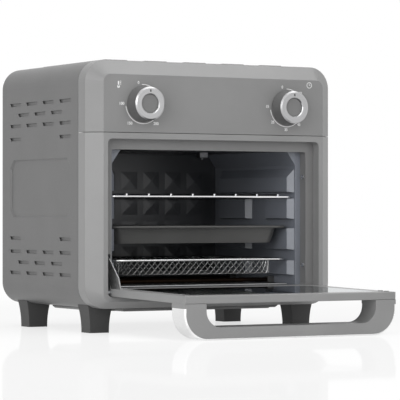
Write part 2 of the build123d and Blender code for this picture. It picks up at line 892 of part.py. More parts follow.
def fan_dome():
    dome = rod_z(dome_radius, ceiling_top, dome_top, 0, fan_centre_y)
    dome = dome - rod_z(dome_radius - sheet, ceiling_top - 1, dome_top - sheet, 0, fan_centre_y)
    rim = rod_z(dome_radius + dome_flange, ceiling_top, ceiling_top + sheet, 0, fan_centre_y)
    rim = rim - rod_z(dome_radius - sheet, ceiling_top - 1, ceiling_top + sheet + 1, 0, fan_centre_y)
    dome = dome + rim
    dome = dome - rod_z(motor_shaft_radius + 2, dome_top - 5, dome_top + 5, 0, fan_centre_y)
    for side in (-1, 1):
        x = side * upper_leg_x
        dome = dome - rod_y(heater_radius, fan_centre_y, fan_centre_y + 2 * dome_radius, x, upper_heater_z)
    return dome


upper_heater_z = ceiling_top + upper_heater_rise
upper_leg_x = 14.0


def upper_heater():
    circle = on_front(Circle(heater_radius), fan_centre_y, upper_heater_ring, upper_heater_z)
    spare = math.degrees(math.asin(upper_leg_x / upper_heater_ring))
    axis = Axis((0, fan_centre_y, 0), (0, 0, 1))
    arc = revolve(circle.rotate(axis, 90 + spare), axis, 360 - 2 * spare)
    reach = upper_heater_ring * math.cos(math.radians(spare))
    leg_end = fan_centre_y + dome_radius + 9.0
    for side in (-1, 1):
        arc = arc + Pos(side * upper_leg_x, fan_centre_y + reach, upper_heater_z) * Sphere(heater_radius)
        arc = arc + rod_y(
            heater_radius, fan_centre_y + reach, leg_end, side * upper_leg_x, upper_heater_z
        )
    return arc


def fan_guard():
    z_low = cavity_ceiling - sheet
    guard = rod_z(guard_radius, z_low, cavity_ceiling, 0, fan_centre_y)
    slots = []
    for part, share in ((0.28, 6), (0.5, 9), (0.72, guard_slots)):
        ring = part * guard_radius
        for i in range(share):
            slot = SlotOverall(ring * 0.42, guard_slot_width)
            angle = 360 / share * i
            turned = Rot(0, 0, angle) * Pos(0, ring) * slot
            slots.append(along_z(turned, z_low - 1, cavity_ceiling + 1, 0, fan_centre_y))
    guard = guard - slots
    return guard - rod_z(3.0, z_low - 1, cavity_ceiling + 1, 0, fan_centre_y)


blade_top = dome_top - sheet - blade_below_dome


def fan_blade():
    plate = rod_z(blade_radius, blade_top - 1.0, blade_top, 0, fan_centre_y)
    hub = rod_z(8.0, blade_top - blade_height, blade_top, 0, fan_centre_y)
    wheel = plate + hub
    for i in range(blade_count):
        vane = Box(blade_radius - 12.0, 1.2, blade_height)
        placed = Rot(0, 0, 360 / blade_count * i) * Pos(blade_radius / 2 + 5.0, 0, 0) * Rot(0, 0, 18) * vane
        wheel = wheel + Pos(0, fan_centre_y, blade_top - blade_height / 2) * placed
    return wheel - rod_z(motor_shaft_radius, 0, 2 * body_top, 0, fan_centre_y)


motor_low = dome_top + bracket_above_dome + bracket_sheet
motor_high = motor_low + motor_size[2]
shaft_top = motor_high + 3.0 + cooling_blade_height


def motor_shaft():
    return rod_z(motor_shaft_radius, blade_top - blade_height, shaft_top, 0, fan_centre_y)


def fan_motor():
    motor = block(
        (-motor_size[0] / 2, motor_size[0] / 2),
        (fan_centre_y - motor_size[1] / 2, fan_centre_y + motor_size[1] / 2),
        (motor_low + 3, motor_high - 3),
    )
    motor = fillet(motor.edges().filter_by(Axis.Z), 3.0)
    motor = motor + rod_z(11.0, motor_low, motor_high, 0, fan_centre_y)
    for side in (-1, 1):
        motor = motor + rod_z(4.0, motor_low, motor_low + 4, side * (motor_size[0] / 2 - 6), fan_centre_y)
    return motor - rod_z(motor_shaft_radius + shaft_fit, 0, 2 * body_top, 0, fan_centre_y)


def motor_bracket():
    deck_low = dome_top + bracket_above_dome
    y = (fan_centre_y - bracket_width / 2, fan_centre_y + bracket_width / 2)
    leg_x = dome_radius + dome_flange + 3.0
    bracket = block((-leg_x, leg_x), y, (deck_low, deck_low + bracket_sheet))
    for side in (-1, 1):
        x_in = side * (leg_x - bracket_sheet)
        x_out = side * leg_x
        toe = side * (leg_x + 12.0)
        bracket = bracket + block((min(x_in, x_out), max(x_in, x_out)), y, (ceiling_top, deck_low + 0.5))
        bracket = bracket + block((min(x_in, toe), max(x_in, toe)), y, (ceiling_top, ceiling_top + bracket_sheet))
    return bracket - rod_z(motor_shaft_radius + 2, deck_low - 1, deck_low + 3, 0, fan_centre_y)


def cooling_fan():
    z_low = motor_high + 2.0
    hub = rod_z(7.0, z_low, z_low + cooling_blade_height, 0, fan_centre_y)
    for i in range(blade_count):
        vane = Rot(35, 0, 0) * Box(cooling_blade_radius - 4.0, 9.0, 1.0)
        placed = Rot(0, 0, 360 / blade_count * i) * Pos(cooling_blade_radius / 2 + 2.0, 0, 0) * vane
        hub = hub + Pos(0, fan_centre_y, z_low + cooling_blade_height / 2) * placed
    return hub - rod_z(motor_shaft_radius, 0, 2 * body_top, 0, fan_centre_y)


def lower_heaters():
    x = wall_x + 10.0
    return group([rod_x(heater_radius, -x, x, y, lower_heater_z) for y in lower_heater_places])


def heater_bushes():
    bushes = []
    for side in (-1, 1):
        for y in lower_heater_places:
            x_near = side * (cavity_x + cavity_sheet)
            x_far = side * (cavity_x + cavity_sheet + heater_bush_length)
            x = (min(x_near, x_far), max(x_near, x_far))
            bush = rod_x(heater_bush_radius, x[0], x[1], y, lower_heater_z)
            bushes.append(bush - rod_x(heater_radius, x[0] - 1, x[1] + 1, y, lower_heater_z))
    return group(bushes)


def heater_brackets():
    brackets = []
    for side in (-1, 1):
        x_wall = side * cavity_x
        x_end = side * (cavity_x - heater_bracket_length)
        x = (min(x_wall, x_end), max(x_wall, x_end))
        for y in lower_heater_places:
            z = (lower_heater_z - heater_radius - 0.3, lower_heater_z + heater_radius + 1.5)
            ear = block(x, (y - 5, y + 5), z)
            brackets.append(ear - rod_x(heater_radius, x[0] - 1, x[1] + 1, y, lower_heater_z))
    return group(brackets)


def sensor_clip():
    z_top = cavity_ceiling - sheet
    clip = block((41.3, 53.3), (fan_centre_y - 18, fan_centre_y - 8), (z_top - 7.0, z_top))
    clip = chamfer(clip.faces().sort_by(Axis.Z)[0].edges(), 0.8)
    return clip + rod_z(1.8, z_top - 9.0, z_top - 6.5, 47.3, fan_centre_y - 13)


# Inlet of the mains lead and the terminal block behind it
def cord_gland():
    gland = rod_y(gland_radius, body_depth - gland_inside, body_depth + gland_out, gland_x, gland_z)
    gland = gland + rod_y(gland_flange_radius, body_depth, body_depth + 3, gland_x, gland_z)
    nut = on_front(RegularPolygon(gland_flange_radius, 6), body_depth - sheet - 4, gland_x, gland_z)
    gland = gland + extrude(nut, amount=-4)
    gland = chamfer(gland.faces().sort_by(Axis.Y)[-1].edges(), 1.0)
    return gland - rod_y(gland_bore_radius, 0, 2 * body_depth, gland_x, gland_z)


def terminal_block():
    y = (body_depth - sheet - 17, body_depth - sheet)
    body = block((gland_x - 15, gland_x + 29), y, (ceiling_top + 18, ceiling_top + 34))
    for i in range(3):
        x = gland_x - 7 + 14 * i
        body = body - rod_y(2.2, y[0] - 1, y[0] + 8, x, ceiling_top + 26)
    return body


def cavity_screws():
    screws = []
    for side in (-1, 1):
        for z in flange_screw_z:
            head_x = side * opening_width / 2
            x_head = (min(head_x, head_x - side * screw_head), max(head_x, head_x - side * screw_head))
            tip_x = side * (wall_x + cavity_sheet + 0.3)
            x_shank = (min(head_x, tip_x), max(head_x, tip_x))
            head = rod_x(screw_head_radius - 0.4, x_head[0], x_head[1], flange_screw_y, z)
            screws.append(head + rod_x(screw_radius - 0.05, x_shank[0], x_shank[1], flange_screw_y, z))
    return group(screws)


# Door, drawn open: it lies flat in front of the oven and turns about its pins
def door_frame():
    x = door_width / 2
    slab = block((-x, x), (axis_y - door_length, axis_y), (door_underside, door_surface))
    slab = slab + rod_x(door_thickness / 2, -x, x, axis_y, axis_z)
    free_end = slab.faces().sort_by(Axis.Y)[0].edges()
    slab = fillet(free_end, door_edge_radius)
    window = door_window(0)
    slab = slab - along_z(window, door_underside - 1, door_surface + 1)
    seat = door_window(glass_ledge)
    slab = slab - along_z(seat, door_surface - glass_thickness, door_surface + 1)
    slab = slab - along_z(seat, door_underside - 1, door_underside + glass_thickness)
    for side in (-1, 1):
        x_in = side * (x - pin_in_door)
        x_out = side * (x + 1)
        slab = slab - rod_x(pin_radius + pin_fit, min(x_in, x_out), max(x_in, x_out), axis_y, axis_z)
        for hole_x, hole_y in handle_screw_places(side):
            slab = slab - rod_z(screw_radius, door_underside - 1, door_surface + 1, hole_x, hole_y)
    return slab


def handle_screw_places(side):
    middle = side * (door_width / 2 - 8.0)
    return [(middle, door_free_y + 9.0), (middle, door_free_y + handle_depth - 9.0)]


door_free_y = axis_y - door_length
window_width = door_width - 2 * door_border - 2 * glass_ledge
window_front = door_free_y + door_border + glass_ledge
window_back = axis_y - door_thickness / 2 - door_border


def door_window(grow):
    wide = window_width + 2 * grow
    long_y = window_back - window_front + 2 * grow
    return Pos(0, (window_back + window_front) / 2) * RectangleRounded(wide, long_y, 4.0 + grow)


def door_glass(z_from, z_to):
    return along_z(door_window(glass_ledge - glass_clearance), z_from, z_to)


def hinge_pins():
    x_door = door_width / 2 - pin_in_door + 1
    x_wall = recess_width / 2 + recess_wall
    right = rod_x(pin_radius, x_door, x_wall, axis_y, axis_z)
    head = rod_x(pin_radius + 0.6, x_wall, x_wall + 1.5, axis_y, axis_z)
    right = right + head
    return group([right, mirrored(right)])


# The arm stands on the left border of the door and enters its slot as the door closes
def hinge_arm():
    foot_y = axis_y - arm_reach_front
    heel_y = axis_y - 2.0
    top = arm_tip_up + axis_z
    points = [
        (foot_y, door_surface),
        (heel_y, door_surface),
        (heel_y + 4.0, door_surface + 6.0),
        (axis_y + arm_tip_back - 7.0, top - 14.0),
        (axis_y + arm_tip_back, top - 4.0),
        (axis_y + arm_tip_back - 3.0, top),
        (axis_y + arm_tip_back - 9.0, top - 3.0),
        (foot_y + 6.0, door_surface + 14.0),
    ]
    outline = make_face(Polyline(*points, close=True))
    arm = along_x(outline, -arm_x - arm_sheet, -arm_x)
    arm = arm + block(
        (-arm_x - arm_sheet, arm_foot_width - arm_x), (foot_y, heel_y), (door_surface, door_surface + arm_sheet)
    )
    rivet_y = axis_y - 12.0
    rivet_z = door_surface + 12.5
    return arm + rod_x(rivet_radius, -arm_x - arm_sheet, rivet_proud - arm_x, rivet_y, rivet_z)


# Handle: a grey core with a bright strip round its outside, on pads under the door
def handle_outline(x_out, z_low, radius):
    top = door_underside - handle_pad
    points = [(-x_out, top), (-x_out, z_low), (x_out, z_low), (x_out, top)]
    face = make_face(Polyline(*points, close=True))
    corners = face.vertices().group_by(Axis.Y)[0]
    return fillet(corners, radius)


handle_x = door_width / 2 - handle_from_edge
handle_low = door_underside - handle_pad - handle_drop


def handle_inner_gap():
    x_in = handle_x - handle_leg
    top = door_underside + 1
    low = handle_low + handle_bar
    points = [(-x_in, top), (-x_in, low), (x_in, low), (x_in, top)]
    face = make_face(Polyline(*points, close=True))
    return fillet(face.vertices().group_by(Axis.Y)[0], handle_inner_radius)


def handle_core():
    core = handle_outline(handle_x - trim_thickness, handle_low + trim_thickness, handle_outer_radius - trim_thickness)
    y_back = door_free_y + handle_depth
    handle = along_y(core, door_free_y, y_back)
    pad_x = door_width / 2
    handle = handle + block((-pad_x, pad_x), (door_free_y, y_back + 1.0), (door_underside - handle_pad, door_underside))
    handle = handle - along_y(handle_inner_gap(), door_free_y - 1, y_back + 5)
    for side in (-1, 1):
        for x, y in handle_screw_places(side):
            handle = handle - rod_z(screw_radius, door_underside - 14, door_underside + 1, x, y)
    return handle


def handle_trim():
    outside = handle_outline(handle_x, handle_low, handle_outer_radius)
    front = handle_outline(handle_x - trim_bevel, handle_low + trim_bevel, handle_outer_radius - trim_bevel)
    inside = handle_outline(
        handle_x - trim_thickness, handle_low + trim_thickness, handle_outer_radius - trim_thickness
    )
    bevel_y = door_free_y + trim_bevel
    bevel = loft(Sketch() + [on_front(front, door_free_y), on_front(outside, bevel_y)], ruled=True)
    trim = bevel + along_y(outside, bevel_y, door_free_y + handle_depth)
    return trim - along_y(inside, door_free_y - 1, door_free_y + handle_depth + 1)


def handle_screws():
    screws = []
    for side in (-1, 1):
        for x, y in handle_screw_places(side):
            shank = rod_z(screw_radius - 0.05, door_underside - 12, door_surface, x, y)
            head = rod_z(screw_head_radius, door_surface, door_surface + 1.0, x, y)
            screws.append(shank + head)
    return group(screws)


# Rounded rectangle of rod, used for the rack and the two rims
def rod_loop(radius, x_half, y_from, y_to, z, bend):
    loop = RectangleRounded(2 * x_half, y_to - y_from, bend).wire()
    path = Pos(0, (y_from + y_to) / 2, z) * loop
    start = path @ 0
    section = Plane(origin=start, z_dir=path % 0) * Circle(radius)
    return sweep(section, path=path)


def wire_rack():
    x_half = cavity_x - rack_side_gap - rack_rod_radius
    front = rack_front + rack_rod_radius
    back = rack_back - rack_rod_radius
    rack = rod_loop(rack_rod_radius, x_half, front, back, rack_z, rack_corner_radius)
    wire_z = rack_z + rack_rod_radius + rack_wire_radius - 0.4
    wires = []
    for i in range(rack_wires):
        x = (i - (rack_wires - 1) / 2) * rack_wire_pitch
        wires.append(rod_y(rack_wire_radius, rack_front, rack_back, x, wire_z))
    return rack + wires


def tray_shell(x_half, y_from, y_to, z_rim, depth, slope, wall, bend):
    y = (y_from + y_to) / 2
    length = y_to - y_from
    top = RectangleRounded(2 * x_half, length, bend)
    bottom = RectangleRounded(2 * (x_half - slope), length - 2 * slope, bend)
    outside = loft(Sketch() + [Pos(0, y, z_rim) * top, Pos(0, y, z_rim - depth) * bottom], ruled=True)
    inner_top = RectangleRounded(2 * (x_half - wall), length - 2 * wall, bend - wall)
    inner_bottom = RectangleRounded(2 * (x_half - slope - wall), length - 2 * slope - 2 * wall, bend - wall)
    inside = loft(
        Sketch() + [Pos(0, y, z_rim + 0.01) * inner_top, Pos(0, y, z_rim - depth + wall) * inner_bottom], ruled=True
    )
    return outside - inside


def flange_ring(x_half, y_from, y_to, z, width_in, thick, bend, bend_in):
    y = (y_from + y_to) / 2
    length = y_to - y_from
    outside = RectangleRounded(2 * x_half, length, bend)
    inside = RectangleRounded(2 * (x_half - width_in), length - 2 * width_in, bend_in)
    return along_z(outside - inside, z - thick / 2, z + thick / 2, 0, y)


def baking_tray():
    x_half = cavity_x - tray_side_gap - tray_rim_radius
    front = tray_front + tray_rim_radius
    back = tray_back - tray_rim_radius
    tray = rod_loop(tray_rim_radius, x_half, front, back, tray_z, tray_corner_radius)
    tray = tray + flange_ring(
        x_half, front, back, tray_z, tray_flange + tray_sheet / 2, tray_sheet, tray_corner_radius, tray_wall_radius
    )
    tray = tray + tray_shell(
        x_half - tray_flange,
        front + tray_flange,
        back - tray_flange,
        tray_z + tray_sheet / 2,
        tray_depth + tray_sheet / 2,
        tray_slope,
        tray_sheet,
        tray_wall_radius,
    )
    for x in tray_bumps:
        z = tray_z + tray_sheet / 2 + tray_bump_proud - tray_bump_radius
        cap = Pos(x, front + tray_flange / 2, z) * Sphere(tray_bump_radius)
        tray = tray + (cap & above(tray_z))
    return tray


basket_x = cavity_x - tray_side_gap - basket_rim_radius
basket_front = tray_front + basket_rim_radius
basket_back = tray_back - basket_rim_radius


def basket_rim():
    return rod_loop(basket_rim_radius, basket_x, basket_front, basket_back, basket_z, basket_corner_radius)


def diamond():
    r = basket_hole / 2
    return make_face(Polyline((-r, 0), (0, -r), (r, 0), (0, r), close=True))


def basket_mesh():
    inset = basket_rim_radius
    x_half = basket_x - basket_flange
    shell = tray_shell(
        x_half,
        basket_front + basket_flange,
        basket_back - basket_flange,
        basket_z + basket_sheet / 2,
        basket_depth + basket_sheet / 2,
        basket_slope,
        basket_sheet,
        basket_wall_radius,
    )
    shell = shell + flange_ring(
        basket_x - inset,
        basket_front + inset,
        basket_back - inset,
        basket_z,
        basket_flange - inset + basket_sheet / 2,
        basket_sheet,
        basket_corner_radius - inset,
        basket_wall_radius,
    )
    low = basket_z - basket_depth
    border = basket_flange + basket_slope + basket_wall_radius / 2
    floor_x = basket_x - border
    floor_y = (basket_front + border, basket_back - border)
    columns = int(2 * floor_x // basket_hole_pitch)
    rows = int((floor_y[1] - floor_y[0]) // basket_hole_pitch)
    centre_y = sum(floor_y) / 2
    cuts = []
    for i in range(columns):
        x = (i - (columns - 1) / 2) * basket_hole_pitch
        for j in range(rows):
            y = centre_y + (j - (rows - 1) / 2) * basket_hole_pitch
            cuts.append(along_z(diamond(), low - 1, low + basket_sheet + 1, x, y))
        cuts.append(along_y(diamond(), basket_front - 5, basket_back + 5, x, basket_z - basket_depth / 2))
    for j in range(rows):
        y = centre_y + (j - (rows - 1) / 2) * basket_hole_pitch
        cuts.append(along_x(diamond(), -basket_x - 5, basket_x + 5, y, basket_z - basket_depth / 2))
    return shell - cuts


def crumb_tray():
    x = cavity_x - crumb_side_gap
    tray = block((-x, x), (crumb_front, crumb_back), (crumb_z, crumb_z + crumb_wall))
    tray = tray - block(
        (-x + crumb_sheet, x - crumb_sheet),
        (crumb_front + crumb_sheet, crumb_back - crumb_sheet),
        (crumb_z + crumb_sheet, crumb_z + crumb_wall + 1),
    )
    h = crumb_tab_height
    w = crumb_tab_width / 2
    arc = ThreePointArc((w, 0), (0, h), (-w, 0))
    tab = make_face(Curve() + [arc, Line((-w, 0), (w, 0))])
    return tray + along_y(tab, crumb_front, crumb_front + 1.0, 0, crumb_z)


# Build and write every piece
def main():
    write("housing_wrap", housing_wrap())
    write("rear_panel", rear_panel())
    write("rear_screws", rear_screws())
    write("base_plate", base_plate())
    for name, (x, y) in foot_places.items():
        write(name, foot(x, y))
    write("foot_screws", foot_screws())
    write("control_panel", control_panel())
    write("front_frame", front_frame())
    write("inner_frame", inner_frame())
    for name, side in (("temp", -1), ("timer", 1)):
        x = side * knob_spacing / 2
        write(f"{name}_knob", knob_body(x))
        write(f"{name}_knob_ring", knob_ring(x))
        write(f"{name}_knob_cap", knob_cap(x))
        write(f"{name}_shaft", control_shaft(x))
    write("control_bracket", control_bracket())
    write("thermostat", control_case(-knob_spacing / 2, thermostat_size))
    write("timer", control_case(knob_spacing / 2, timer_size))
    write("timer_bell", timer_bell())
    right_wall = cavity_right()
    write("cavity_right", right_wall)
    write("cavity_left", mirrored(right_wall))
    write("cavity_back", cavity_back_panel())
    write("cavity_top", cavity_top())
    write("cavity_floor", cavity_floor_panel())
    write("cavity_screws", cavity_screws())
    write("fan_dome", fan_dome())
    write("fan_guard", fan_guard())
    write("fan_blade", fan_blade())
    write("cooling_fan", cooling_fan())
    write("motor_shaft", motor_shaft())
    write("fan_motor", fan_motor())
    write("motor_bracket", motor_bracket())
    write("upper_heater", upper_heater())
    write("lower_heaters", lower_heaters())
    write("heater_bushes", heater_bushes())
    write("heater_brackets", heater_brackets())
    write("sensor_clip", sensor_clip())
    write("cord_gland", cord_gland())
    write("terminal_block", terminal_block())
    write("door_frame", opened(door_frame()))
    write("door_inner_glass", opened(door_glass(door_surface - glass_thickness, door_surface)))
    write("door_outer_glass", opened(door_glass(door_underside, door_underside + glass_thickness)))
    write("hinge_pins", opened(hinge_pins()))
    write("hinge_arm", opened(hinge_arm()))
    write("handle_core", opened(handle_core()))
    write("handle_trim", opened(handle_trim()))
    write("handle_screws", opened(handle_screws()))
    write("wire_rack", wire_rack())
    write("baking_tray", baking_tray())
    write("basket_rim", basket_rim())
    write("basket_mesh", basket_mesh())
    write("crumb_tray", crumb_tray())


main()
print("nodes", len(written), "centre line moved by", middle_y)
print("door axis", axis_y - middle_y, axis_z, "door reach", door_reach)
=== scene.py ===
import math

import bmesh
import bpy
from mathutils import Matrix, Vector


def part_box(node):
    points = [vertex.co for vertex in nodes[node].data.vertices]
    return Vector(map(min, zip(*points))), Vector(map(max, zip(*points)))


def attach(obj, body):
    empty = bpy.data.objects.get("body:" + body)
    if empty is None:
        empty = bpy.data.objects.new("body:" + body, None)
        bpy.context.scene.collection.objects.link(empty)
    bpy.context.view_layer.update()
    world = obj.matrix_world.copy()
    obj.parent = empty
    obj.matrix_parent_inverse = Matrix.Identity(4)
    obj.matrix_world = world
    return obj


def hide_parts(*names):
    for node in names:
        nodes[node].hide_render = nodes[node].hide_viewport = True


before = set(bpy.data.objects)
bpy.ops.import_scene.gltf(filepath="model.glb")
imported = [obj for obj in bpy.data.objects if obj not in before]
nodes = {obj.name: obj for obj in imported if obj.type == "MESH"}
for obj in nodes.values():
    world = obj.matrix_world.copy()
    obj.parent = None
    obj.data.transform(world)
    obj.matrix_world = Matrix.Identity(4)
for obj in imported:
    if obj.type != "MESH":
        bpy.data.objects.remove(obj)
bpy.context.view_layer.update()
mm = 0.001
perMetre = 1000.0
print("frame loaded", len(nodes))


# camera at the photo's place: level with the cavity, 30 degrees to the left of the front
camera = dict(place=(-1.47305, -2.57084, 0.1519), turn=29.806, lift=0.304, lens=206.26, sensor=36.0)


def makeCamera():
    data = bpy.data.cameras.new("photoCamera")
    data.lens = camera["lens"]
    data.sensor_width = camera["sensor"]
    data.sensor_fit = "HORIZONTAL"
    eye = bpy.data.objects.new("photoCamera", data)
    turn = math.radians(camera["turn"])
    lift = math.radians(camera["lift"])
    look = Vector((math.sin(turn) * math.cos(lift), math.cos(turn) * math.cos(lift), math.sin(lift)))
    eye.location = camera["place"]
    eye.rotation_euler = look.to_track_quat("-Z", "Y").to_euler()
    bpy.context.scene.collection.objects.link(eye)
    bpy.context.scene.camera = eye


makeCamera()
print("camera placed")


# colour and node helpers
def linear(hexText):
    values = [int(hexText[i : i + 2], 16) / 255 for i in (1, 3, 5)]
    values = [v / 12.92 if v <= 0.04045 else ((v + 0.055) / 1.055) ** 2.4 for v in values]
    return (*values, 1.0)


def addNode(owner, kind, settings=None, **inputs):
    # an input goes by its socket's name with underscores, or by its number, as in i0
    node = owner.node_tree.nodes.new(kind)
    for key, value in (settings or {}).items():
        setattr(node, key, value)
    for key, value in inputs.items():
        number = key[1:]
        socket = node.inputs[int(number) if number.isdigit() else key.replace("_", " ")]
        if isinstance(value, bpy.types.NodeSocket):
            owner.node_tree.links.new(value, socket)
        else:
            socket.default_value = value
    return node


def startMaterial(name):
    material = bpy.data.materials.new(name)
    material.use_nodes = True
    material.node_tree.nodes.clear()
    return material


# the span that a noise seldom leaves: tones and roughness run from end to end over it
noiseSpan = dict(From_Min=0.3, From_Max=0.7)


def twoTones(material, noise, low, high):
    share = addNode(material, "ShaderNodeMapRange", Value=noise, **noiseSpan)
    mixed = addNode(
        material,
        "ShaderNodeMix",
        dict(data_type="RGBA"),
        i0=share.outputs["Result"],
        i6=linear(low),
        i7=linear(high),
    )
    return mixed.outputs[2]


# sizes of grain, cloud, depth and softened edge are in millimetres
surface = dict(cloudDetail=3.0, bevelSamples=4)
paint = dict(cloud=60.0, detail=2.0, spread=0.03)
metal = dict(cloud=40.0, detail=3.0, smoother=0.8, rougher=1.25)


def makeSurface(name, low, high, roughSpan, cloud, grain, detail, deep, edge, stretch=(1, 1, 1), **shading):
    # two close tones in a slow cloud, a fine grain in roughness and relief, softened edges
    material = startMaterial(name)
    coords = addNode(material, "ShaderNodeTexCoord").outputs["Object"]
    cloudNoise = addNode(
        material, "ShaderNodeTexNoise", Vector=coords, Scale=perMetre / cloud, Detail=surface["cloudDetail"]
    )
    laid = addNode(material, "ShaderNodeMapping", Vector=coords, Scale=stretch)
    grainNoise = addNode(
        material, "ShaderNodeTexNoise", Vector=laid.outputs["Vector"], Scale=perMetre / grain, Detail=detail
    )
    roughness = addNode(
        material,
        "ShaderNodeMapRange",
        Value=grainNoise.outputs["Fac"],
        To_Min=roughSpan[0],
        To_Max=roughSpan[1],
        **noiseSpan,
    )
    softened = addNode(material, "ShaderNodeBevel", dict(samples=surface["bevelSamples"]), Radius=edge * mm)
    relief = addNode(
        material,
        "ShaderNodeBump",
        Height=grainNoise.outputs["Fac"],
        Distance=deep * mm,
        Normal=softened.outputs["Normal"],
    )
    shader = addNode(
        material,
        "ShaderNodeBsdfPrincipled",
        Base_Color=twoTones(material, cloudNoise.outputs["Fac"], low, high),
        Roughness=roughness.outputs["Result"],
        Normal=relief.outputs["Normal"],
        **shading,
    )
    addNode(material, "ShaderNodeOutputMaterial", Surface=shader.outputs["BSDF"])
    return material


def paintLike(name, low, high, rough, grain, deep, edge, **shading):
    # coats, rubber, mouldings and fired clay
    roughSpan = (rough - paint["spread"], rough + paint["spread"])
    return makeSurface(
        name, low, high, roughSpan, paint["cloud"], grain, paint["detail"], deep, edge, **shading
    )


def metalLike(name, low, high, rough, grain, deep, edge, cloud=metal["cloud"], stretch=(1, 1, 1)):
    # polished, brushed or rolled metal: the stretch lays the grain along one axis
    roughSpan = (rough * metal["smoother"], rough * metal["rougher"])
    return makeSurface(
        name, low, high, roughSpan, cloud, grain, metal["detail"], deep, edge, stretch, Metallic=1.0
    )


# powder coated steel sheet, sprayed and baked: even satin grey with a very fine orange peel; its grey is set
# darker than the front's as painted shade for the sides turned from the light
powderCoatShaded = paintLike("powderCoatedSteelShaded", "#656565", "#696969", rough=0.4, grain=1.6, deep=0.012, edge=0.5)
# heat resistant plastic, moulded and spray painted: the same grey, a touch smoother
fasciaPaint = paintLike(
    "paintedMouldedPlastic", "#818181", "#868686", rough=0.38, grain=2.2, deep=0.008, edge=0.8
)
# the lower moulding takes the same paint as the fascia, set a shade lighter as painted light for the
# brighter light on the lower front
lowerPaintLit = paintLike(
    "paintedLowerMouldingLit", "#898989", "#8e8e8e", rough=0.38, grain=2.2, deep=0.008, edge=0.8
)
# steel frame behind the recess, dip primed and painted: satin, sharper edges; its grey is set darker than
# the fascia's as painted shade for the shadow that the recess's top casts on it
framePaintShaded = paintLike("paintedSteelFrameShaded", "#767676", "#7c7c7c", rough=0.4, grain=1.8, deep=0.01, edge=0.3)
# steel door frame, pressed and painted: satin grey
doorPaint = paintLike("paintedDoorSteel", "#858585", "#8b8b8b", rough=0.36, grain=2.2, deep=0.008, edge=0.8)
# moulded handle core, painted as the fascia
handlePaint = paintLike(
    "paintedHandleCore", "#868686", "#8c8c8c", rough=0.38, grain=2.2, deep=0.008, edge=0.9
)
# fluoropolymer non-stick on pressed steel, a dark blue grey with low gloss and tiny specks; the side walls
# carry it as painted light, a much paler blue grey for the light that falls in on them
nonStickWallLit = paintLike(
    "nonStickCavityWallLit", "#787c84", "#80848d", rough=0.3, grain=0.9, deep=0.006, edge=0.8, IOR=1.6
)
# the same coating on the back, top and floor plates, set much darker as painted shade for the shade deep in
# the cavity
nonStickShaded = paintLike(
    "nonStickPlateShaded", "#2d2f33", "#34363b", rough=0.32, grain=0.9, deep=0.006, edge=0.8, IOR=1.6
)
# the same coating on a drawn tray, nearly black, smoother
nonStickTray = paintLike(
    "nonStickDrawnTray", "#4c4c4b", "#535352", rough=0.36, grain=0.9, deep=0.006, edge=0.6, IOR=1.55
)
# moulded rubber feet: matt, slightly chalky dark grey
footRubber = paintLike(
    "mouldedRubberFoot", "#363636", "#3f3f3f", rough=0.62, grain=1.2, deep=0.03, edge=0.8, Sheen_Weight=0.1
)
# glass filled nylon, moulded: dark grey knob with a fine spark eroded grain
knobNylon = paintLike("mouldedNylonKnob", "#5c5c5c", "#636363", rough=0.45, grain=1.0, deep=0.02, edge=0.6)
# knob cap, moulded and painted mid grey with a light gloss
capPaint = paintLike("paintedKnobCap", "#6f6f6f", "#757575", rough=0.34, grain=1.4, deep=0.006, edge=0.4)
# black nylon cord gland, moulded
glandNylon = paintLike("mouldedNylonGland", "#141414", "#1a1a1a", rough=0.5, grain=1.0, deep=0.02, edge=0.5)
# urea resin cases of the controls, compression moulded: ivory
controlResin = paintLike(
    "mouldedControlResin", "#b9b5aa", "#c4c0b5", rough=0.45, grain=1.4, deep=0.01, edge=0.5
)
# steatite insulators, pressed and fired: chalky white
steatite = paintLike("firedSteatite", "#e2ddd2", "#ebe7de", rough=0.6, grain=0.9, deep=0.02, edge=0.4)
# heat tinted sheath of the heater tube: brown black oxide
heaterOxide = metalLike(
    "oxidisedHeaterTube", "#15120f", "#271b13", rough=0.55, grain=3.0, deep=0.01, edge=0.2, cloud=25.0
)
# bare hot dip galvanised sheet: pale spangled grey
galvanised = metalLike(
    "galvanisedSheet", "#9a9c9e", "#b4b6b8", rough=0.42, grain=6.0, deep=0.006, edge=0.3, cloud=9.0
)
# nickel chrome plate on drawn wire: bright, mirror like
chromeWire = metalLike("chromePlatedWire", "#ececee", "#f4f4f5", rough=0.1, grain=12.0, deep=0.002, edge=0.2)
# stainless steel wire, drawn and woven: bright satin
stainlessWire = metalLike(
    "wovenStainlessWire", "#bcbcbc", "#cdcdcd", rough=0.3, grain=4.0, deep=0.003, edge=0.1
)
# stainless rim rod, ground smooth: bright satin
stainlessRim = metalLike(
    "groundStainlessRod", "#d8d8d8", "#e4e4e4", rough=0.2, grain=4.0, deep=0.003, edge=0.1
)
# stamped steel clip, dull
dullSteel = metalLike("stampedSteelClip", "#77777a", "#88888b", rough=0.5, grain=2.0, deep=0.006, edge=0.2)
# rolled aluminium sheet, pressed thin: grain along the rolling direction, X
rolledAluminium = metalLike(
    "rolledAluminiumSheet", "#b0b1b2", "#c0c1c2",
    rough=0.32, grain=0.8, deep=0.004, edge=0.3, stretch=(0.08, 1, 1),
)
# clear anodised aluminium strip, brushed along its length: pale silver
anodisedStrip = metalLike(
    "anodisedBrushedStrip", "#e6e6e6", "#eeeeee",
    rough=0.26, grain=0.5, deep=0.004, edge=0.4, stretch=(0.05, 1, 1),
)
# zinc plated steel screws, cold headed: bright, slightly blue
zincScrew = metalLike("zincPlatedScrew", "#c3c5c8", "#d2d4d7", rough=0.25, grain=2.0, deep=0.004, edge=0.3)
# pressed steel hinge arm, bead blasted: mottled grey
hingeSteel = metalLike(
    "blastedHingeSteel", "#7a7a7b", "#a8a8a8", rough=0.42, grain=1.5, deep=0.03, edge=0.3, cloud=3.0
)
# laminated motor steel: dark stack with fine edges showing along Z
motorSteel = metalLike(
    "laminatedMotorSteel", "#4b4c50", "#606166",
    rough=0.45, grain=0.7, deep=0.05, edge=0.3, stretch=(0.05, 0.05, 1),
)
